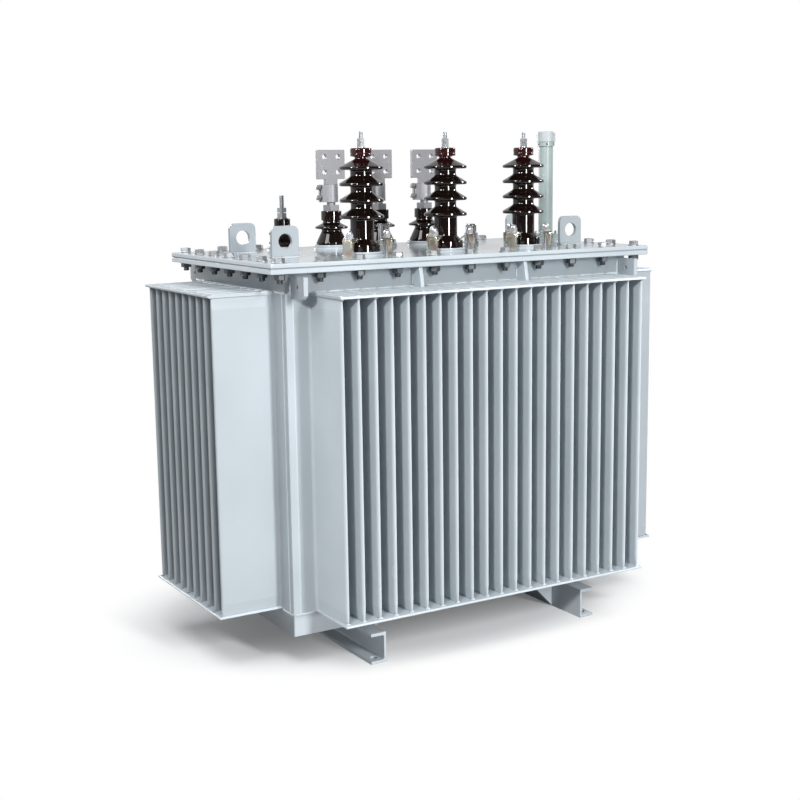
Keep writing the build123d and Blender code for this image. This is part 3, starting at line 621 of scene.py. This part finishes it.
# Welds on the four rows of fins; each pair is the least and the greatest share of the size before it
finRows = {
    "longCount": 21, "shortCount": 10, "pitch": 45 * mm, "postWidth": 20 * mm,
    "overParts": 5, "innerParts": 3,  # runs end this part of a pitch beyond the outer fins
    "plateLeg": 2.4 * mm, "streak": 28 * mm, "streakLimits": (0.8, 1.3),
    "streakWidth": 9 * mm, "streakHeight": 4 * mm, "humpLimits": (0.8, 1.2),
    "ridge": 11 * mm, "ridgeLimits": (0.7, 1.2), "ridgeHeight": 2.4 * mm, "crestLimits": (0.5, 1.2),
    "ridgeEnd": 12 * mm, "ridgeSteps": 5, "postSteps": 2,  # long plain runs take coarser steps
    "noseLeg": 4.5 * mm, "legLimits": (0.8, 1.2), "noseLength": 13 * mm, "lengthLimits": (0.9, 1.2),
    "noseSink": 1.0 * mm, "seam": 6 * mm, "seamHeight": 1.0 * mm,
}
longSide = {"far": rimHigh.y, "half": rimHigh.x, "count": finRows["longCount"]}
shortSide = {"far": rimHigh.x, "half": rimHigh.y, "count": finRows["shortCount"]}
tankSides = [
    {"name": "front", "out": Vector((0, -1, 0)), **longSide},
    {"name": "back", "out": Vector((0, 1, 0)), **longSide},
    {"name": "left", "out": Vector((-1, 0, 0)), **shortSide},
    {"name": "right", "out": Vector((1, 0, 0)), **shortSide},
]
for side in tankSides:
    side["along"] = up.cross(side["out"])
    side["halfRow"] = finRows["pitch"] * (side["count"] - 1) / 2


def buildFinWelds(side):  # bead along the foot of the rim; a streak, a low ridge and nose welds at every fin
    size = finRows
    out, along, halfRow = side["out"], side["along"], side["halfRow"]
    foot = out * side["far"] + up * rimLow.z
    upperLow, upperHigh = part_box("upper_fin_plates")
    plateFar = abs(upperHigh.dot(out))
    noseFar = max(corner.dot(out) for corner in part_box(side["name"] + "_wall"))
    noseHigh = up * upperLow.z
    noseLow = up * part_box("lower_fin_plates")[1].z
    beads, ridges, noses = bmesh.new(), bmesh.new(), bmesh.new()
    span = halfRow + size["pitch"] / size["overParts"]
    rimFoot = straight(foot - along * span, foot + along * span, out, up, welds["step"])
    addBead(beads, rimFoot, filletSection(size["plateLeg"]))
    for i in range(side["count"]):
        spot = along * (i * size["pitch"] - halfRow)
        streak = vary(size["streak"], size["streakLimits"])
        hump = ridgeSection(size["streakWidth"], vary(size["streakHeight"], size["humpLimits"]))
        addBlob(beads, foot + spot + out * streak / 2, out, along, up, streak, hump)
        tip = foot + spot + out * (plateFar - side["far"] - size["ridgeEnd"])
        run = straight(foot + spot + out * streak, tip, along, up, size["ridgeSteps"] * welds["step"])
        width = vary(size["ridge"], size["ridgeLimits"])
        addBead(ridges, run, ridgeSection(width, vary(size["ridgeHeight"], size["crestLimits"])))
        for height, lift in ((noseHigh, -up), (noseLow, up)):
            corner = filletSection(vary(size["noseLeg"], size["legLimits"]))
            nose = spot + out * (noseFar - size["noseSink"]) + height
            addBlob(noses, nose, along, out, lift, vary(size["noseLength"], size["lengthLimits"]), corner)
    # rim beads and streaks take the paler weld enamel, a painted highlight
    makePiece("rim_weld_" + side["name"], beads, "tank_paint", "weld")
    makePiece("fin_ridges_" + side["name"], ridges, "tank_paint")
    makePiece("nose_welds_" + side["name"], noses, "tank_paint")


def buildCornerSeams(side):  # flush seams round the corner posts, above the base and under the rim
    size = finRows
    out, along = side["out"], side["along"]
    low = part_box("tank_corners")[0].z
    high = rimLow.z
    form = bmesh.new()
    seam = ridgeSection(size["seam"], size["seamHeight"])
    for end in (-1, 1):
        edge = along * end
        post = out * side["far"] + edge * (side["half"] - size["postWidth"])
        corner = out * side["far"] + edge * (side["half"] - size["seam"])
        inner = out * side["far"] + edge * (side["halfRow"] + size["pitch"] / size["innerParts"])
        postRun = straight(post + up * low, post + up * high, along, out, size["postSteps"] * welds["step"])
        addBead(form, postRun, seam)
        for level in (low, high):
            run = straight(corner + up * level, inner + up * level, up, out, welds["step"])
            addBead(form, run, seam)
    makePiece("corner_seams_" + side["name"], form, "tank_paint")


for side in tankSides:
    buildFinWelds(side)
    buildCornerSeams(side)

# Fillet welds at the feet of the eyes, seats, hooks and ribs
footWelds = {
    "eye": 5 * mm, "seat": 2.5 * mm, "plate": 3 * mm, "plateFoot": 4 * mm, "plateHead": 1 * mm,
    "hvSeat": 51 * mm, "lvSeat": 50 * mm, "neutralSeat": 42 * mm, "tubeFoot": 42 * mm,
    "thickness": {"flange_ribs": 10 * mm, "tank_hooks": 12 * mm},
}


def buildEyeWelds():
    form = bmesh.new()
    for depth in ("front", "back"):
        for end in ("left", "right"):
            low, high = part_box(f"cover_eye_{depth}_{end}")
            for y, out in ((low.y, -1), (high.y, 1)):
                run = straight((low.x, y, coverTop), (high.x, y, coverTop), (0, out, 0), up, welds["step"])
                addBead(form, run, filletSection(footWelds["eye"]))
    makePiece("eye_welds", form, "tank_paint")


def buildSeatWelds():
    size = footWelds
    radii = {f"hv_bushing_{number}": size["hvSeat"] for number in phases}
    radii.update({f"lv_bushing_{number}": size["lvSeat"] for number in phases})
    radii.update({"neutral_bushing": size["neutralSeat"], "oil_tube": size["tubeFoot"]})
    form = bmesh.new()
    for node, radius in radii.items():
        low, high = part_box(node)
        centre = (low + high) / 2
        ring = around(centre.x, centre.y, coverTop, radius, welds["step"])
        addBead(form, ring, filletSection(size["seat"]), True)
    makePiece("seat_welds", form, "tank_paint")


def buildPlateWelds(node, thickness):  # both faces of upright plates that stand out from the rim
    size = footWelds
    form = bmesh.new()
    low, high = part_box(node)
    for end in (-1, 1):
        x = end * (high.x - thickness / 2)
        for sideY in (-1, 1):
            y = sideY * rimHigh.y
            for face in (-1, 1):
                faceX = x + face * thickness / 2
                bottom = (faceX, y, low.z + size["plateFoot"])
                top = (faceX, y, high.z - size["plateHead"])
                run = straight(bottom, top, (face, 0, 0), (0, sideY, 0), welds["step"])
                addBead(form, run, filletSection(size["plate"]))
    makePiece(node + "_welds", form, "tank_paint")


buildEyeWelds()
buildSeatWelds()
for node, thickness in footWelds["thickness"].items():
    buildPlateWelds(node, thickness)
print("welds done")

# White studio floor that keeps the shadow near the object and fades to plain white further out
floorLook = {
    "size": 30.0, "white": "#F4F5F6", "bounce": "#8E8F90", "rough": 0.9, "lift": 0.12,
    "footMiddle": (0.0, 0.11, 0.0), "footLength": 0.69, "footWidth": 0.44, "nearFade": 0.95, "farFade": 1.4,
}


def buildFloor():
    look = floorLook
    bpy.ops.mesh.primitive_grid_add(x_subdivisions=2, y_subdivisions=2, size=look["size"])
    floor = bpy.context.object
    floor.name = "studioFloor"
    material, tree, shader = startMaterial("paintedStudioFloor")
    shader.inputs["Base Color"].default_value = hexColour(look["white"])
    shader.inputs["Roughness"].default_value = look["rough"]
    shader.inputs["Specular IOR Level"].default_value = 0.0
    place = addNode(tree, "TexCoord").outputs["Object"]
    foot = addNode(tree, "VectorMath", {"operation": "SUBTRACT", 1: look["footMiddle"]}, {0: place})
    footSize = (look["footLength"], look["footWidth"], 1.0)
    foot = addNode(tree, "VectorMath", {"operation": "DIVIDE", 1: footSize}, {0: foot.outputs["Vector"]})
    reach = addNode(tree, "VectorMath", {"operation": "LENGTH"}, {0: foot.outputs["Vector"]})
    fade = addNode(
        tree, "MapRange", {
            "interpolation_type": "SMOOTHSTEP", "From Min": look["nearFade"], "From Max": look["farFade"],
            "To Min": look["lift"],
        },
        {"Value": reach.outputs["Value"]},
    )
    rays = addNode(tree, "LightPath").outputs
    seen = rays["Is Camera Ray"]
    for kind in ("Is Glossy Ray", "Is Transmission Ray"):
        seen = addNode(tree, "Math", {"operation": "MAXIMUM"}, {0: seen, 1: rays[kind]}).outputs[0]
    share = addNode(tree, "Math", {"operation": "MULTIPLY"}, {0: fade.outputs["Result"], 1: seen})
    glow = addNode(tree, "Emission", {"Strength": 1.0})
    dim = addNode(tree, "BsdfDiffuse", {"Color": hexColour(look["bounce"])})  # thrown back on the tank
    paint = addNode(
        tree, "MixShader", {}, {0: rays["Is Diffuse Ray"], 1: shader.outputs[0], 2: dim.outputs[0]}
    )
    mix = addNode(tree, "MixShader", {}, {0: share.outputs[0], 1: paint.outputs[0], 2: glow.outputs[0]})
    tree.links.new(mix.outputs[0], tree.nodes["Material Output"].inputs["Surface"])
    floor.data.materials.append(material)
    return floor


studioFloor = buildFloor()

# Studio: white backdrop behind, dimmer room in front. Each light reaches all pieces, all but those that
# a flag shades, or only those that it is set for
studio = {
    "low": 0.10, "high": 0.38, "skyFrom": -0.1, "skyTo": 0.9,
    "front": 0.07, "back": 0.8, "roomFrom": -0.3, "roomTo": 0.35,
}
flagged = [
    "left_wall", "tank_corners", "tank_base", "tank_rim", "skid_left", "skid_gussets", "nose_welds_left",
]
eyes = [name for name in nodes if name.startswith("cover_eye")]
porcelain = [part["node"] for part in subparts if part["material_slot"] == "brown_porcelain"]
frontRow = ["front_wall", "tank_rim", "nose_welds_front"]
softBoxes = {
    "front": {  # main light
        "at": (0.2, -4.4, 2.2), "size": (0.6, 1.5), "power": 178, "shade": frontRow + ["tank_cover"],
    },
    "cover": {  # the same on the cover, where its mirror image would glare
        "at": (0.2, -4.4, 2.2), "size": (0.6, 1.5), "power": 178, "only": ["tank_cover"], "matte": True,
    },
    "row": {"at": (0.5, -4.4, 2.0), "size": (0.3, 1.5), "power": 85, "only": frontRow},
    "rake": {  # from far right, along the front fins
        "at": (5.5, -4.3, 2.35), "size": (1.0, 1.4), "power": 520,
        "only": ["front_wall", "nose_welds_front", "upper_fin_plates"],
    },
    "left": {
        "at": (-2.3, -0.4, 3.2), "size": (1.3, 1.3), "power": 38,
        "shade": ["floor", "tank_base", "upper_fin_plates"],
    },
    "key": {  # small and hard, kept off the left side of the tank
        "at": (-4.4, -3.7, 3.05), "size": (0.5, 0.5), "power": 225,
        "shade": ["floor", "tank_hooks"] + flagged + eyes,
    },
    "card": {  # soft return on that side
        "at": (-1.5, -4.3, 1.7), "size": (1.0, 1.0), "power": 58,
        "only": ["left_wall", "tank_corners", "tank_hooks"],
    },
    "base": {"at": (1.0, -3.9, 0.3), "size": (0.8, 0.4), "power": 75, "only": ["tank_base"]},
    "sparkLeft": {"at": (-4.0, -0.8, 2.3), "size": (0.5, 1.2), "power": 200, "only": porcelain},
    "sparkRight": {"at": (4.2, -0.8, 2.4), "size": (0.5, 1.2), "power": 200, "only": porcelain},
    "strip": {"at": (0.1, -4.2, 1.1), "size": (0.45, 2.0), "power": 220, "only": porcelain},
    "low": {
        "at": (-1.4, -3.6, 0.45), "size": (0.8, 0.4), "power": 60,
        "only": ["skid_left", "skid_gussets", "lower_fin_plates"],
    },
    "right": {
        "at": (4.0, 0.6, 2.6), "size": (1.5, 1.5), "power": 105,
        "shade": ["floor", "front_wall", "tank_cover"] + porcelain,
    },
    "rear": {
        "at": (-0.6, 4.7, 2.2), "size": (1.2, 1.5), "power": 165,
        "shade": ["floor", "front_wall", "tank_cover"] + porcelain,
    },
    "wash": {"at": (0.0, 0.0, 5.0), "size": (6.0, 5.0), "power": 290, "only": ["floor"]},
}


def buildWorld():
    world = bpy.data.worlds.new("studioWorld")
    bpy.context.scene.world = world
    world.use_nodes = True
    tree = world.node_tree
    rays = addNode(tree, "LightPath").outputs
    aim = addNode(tree, "SeparateXYZ", {}, {"Vector": addNode(tree, "TexCoord").outputs["Generated"]})
    room = addNode(
        tree, "MapRange", {
            "interpolation_type": "SMOOTHSTEP", "From Min": studio["roomFrom"], "From Max": studio["roomTo"],
            "To Min": studio["front"], "To Max": studio["back"],
        },
        {"Value": aim.outputs["Y"]},
    )
    sky = addNode(
        tree, "MapRange", {
            "From Min": studio["skyFrom"], "From Max": studio["skyTo"],
            "To Min": studio["low"], "To Max": studio["high"],
        },
        {"Value": aim.outputs["Z"]},
    )
    mirror = addNode(
        tree, "Math", {"operation": "MAXIMUM"}, {0: rays["Is Glossy Ray"], 1: rays["Is Transmission Ray"]}
    )
    level = addNode(
        tree, "Mix", {"data_type": "FLOAT"},
        {0: mirror.outputs[0], floatA: sky.outputs["Result"], floatB: room.outputs["Result"]},
    )
    shown = addNode(
        tree, "Mix", {"data_type": "FLOAT", floatB: 1.0}, {0: rays["Is Camera Ray"], floatA: level.outputs[0]}
    )
    tree.links.new(shown.outputs[0], tree.nodes["Background"].inputs["Strength"])
    tree.nodes["Background"].inputs["Color"].default_value = (1, 1, 1, 1)


lightable = {**nodes, **pieces, "floor": studioFloor}


def lightGroup(name, members, state):  # what a flag keeps this light off, or all that it lights
    group = bpy.data.collections.new(name)
    for item in members:
        group.objects.link(lightable[item])
    for entry in group.collection_objects:
        entry.light_linking.link_state = state
    return group


def buildSoftBoxes():
    target = Vector((0, 0, (cadBox[0].z + cadBox[1].z) / 2))
    for name, box in softBoxes.items():
        lamp = bpy.data.lights.new(name + "SoftBox", "AREA")
        lamp.shape = "RECTANGLE"
        lamp.size, lamp.size_y = box["size"]
        lamp.energy = box["power"]
        lampObject = bpy.data.objects.new(name + "SoftBox", lamp)
        lampObject.location = box["at"]
        lampObject.visible_glossy = "matte" not in box  # a matte one leaves no mirror image
        lampObject.rotation_euler = (target - Vector(box["at"])).to_track_quat("-Z", "Y").to_euler()
        for listed, state in (("shade", "EXCLUDE"), ("only", "INCLUDE")):
            if listed in box:
                lampObject.light_linking.receiver_collection = lightGroup(name + "Group", box[listed], state)
        bpy.context.scene.collection.objects.link(lampObject)


buildWorld()
buildSoftBoxes()
bpy.context.scene.view_settings.view_transform = "Standard"
print("studio done")

# Camera at the photo's angle
cameraPlace = {
    "at": (-1.9015, -3.1386, 1.2138), "yaw": -0.5349, "pitch": -0.169, "roll": -0.0136,
    "lens": 60.0, "sensor": 36.0,
}


def buildCamera():
    look = cameraPlace
    camera = bpy.data.cameras.new("studioCamera")
    camera.lens = look["lens"]
    camera.sensor_width = look["sensor"]
    forward = Vector((
        -math.sin(look["yaw"]) * math.cos(look["pitch"]),
        math.cos(look["yaw"]) * math.cos(look["pitch"]),
        math.sin(look["pitch"]),
    ))
    level = forward.cross(up).normalized()
    upright = level.cross(forward)
    right = level * math.cos(look["roll"]) + upright * math.sin(look["roll"])
    top = upright * math.cos(look["roll"]) - level * math.sin(look["roll"])
    cameraObject = bpy.data.objects.new("studioCamera", camera)
    turn = Matrix((right, top, -forward)).transposed()
    cameraObject.matrix_world = Matrix.Translation(look["at"]) @ turn.to_4x4()
    bpy.context.scene.collection.objects.link(cameraObject)
    bpy.context.scene.camera = cameraObject


buildCamera()
print("camera done")
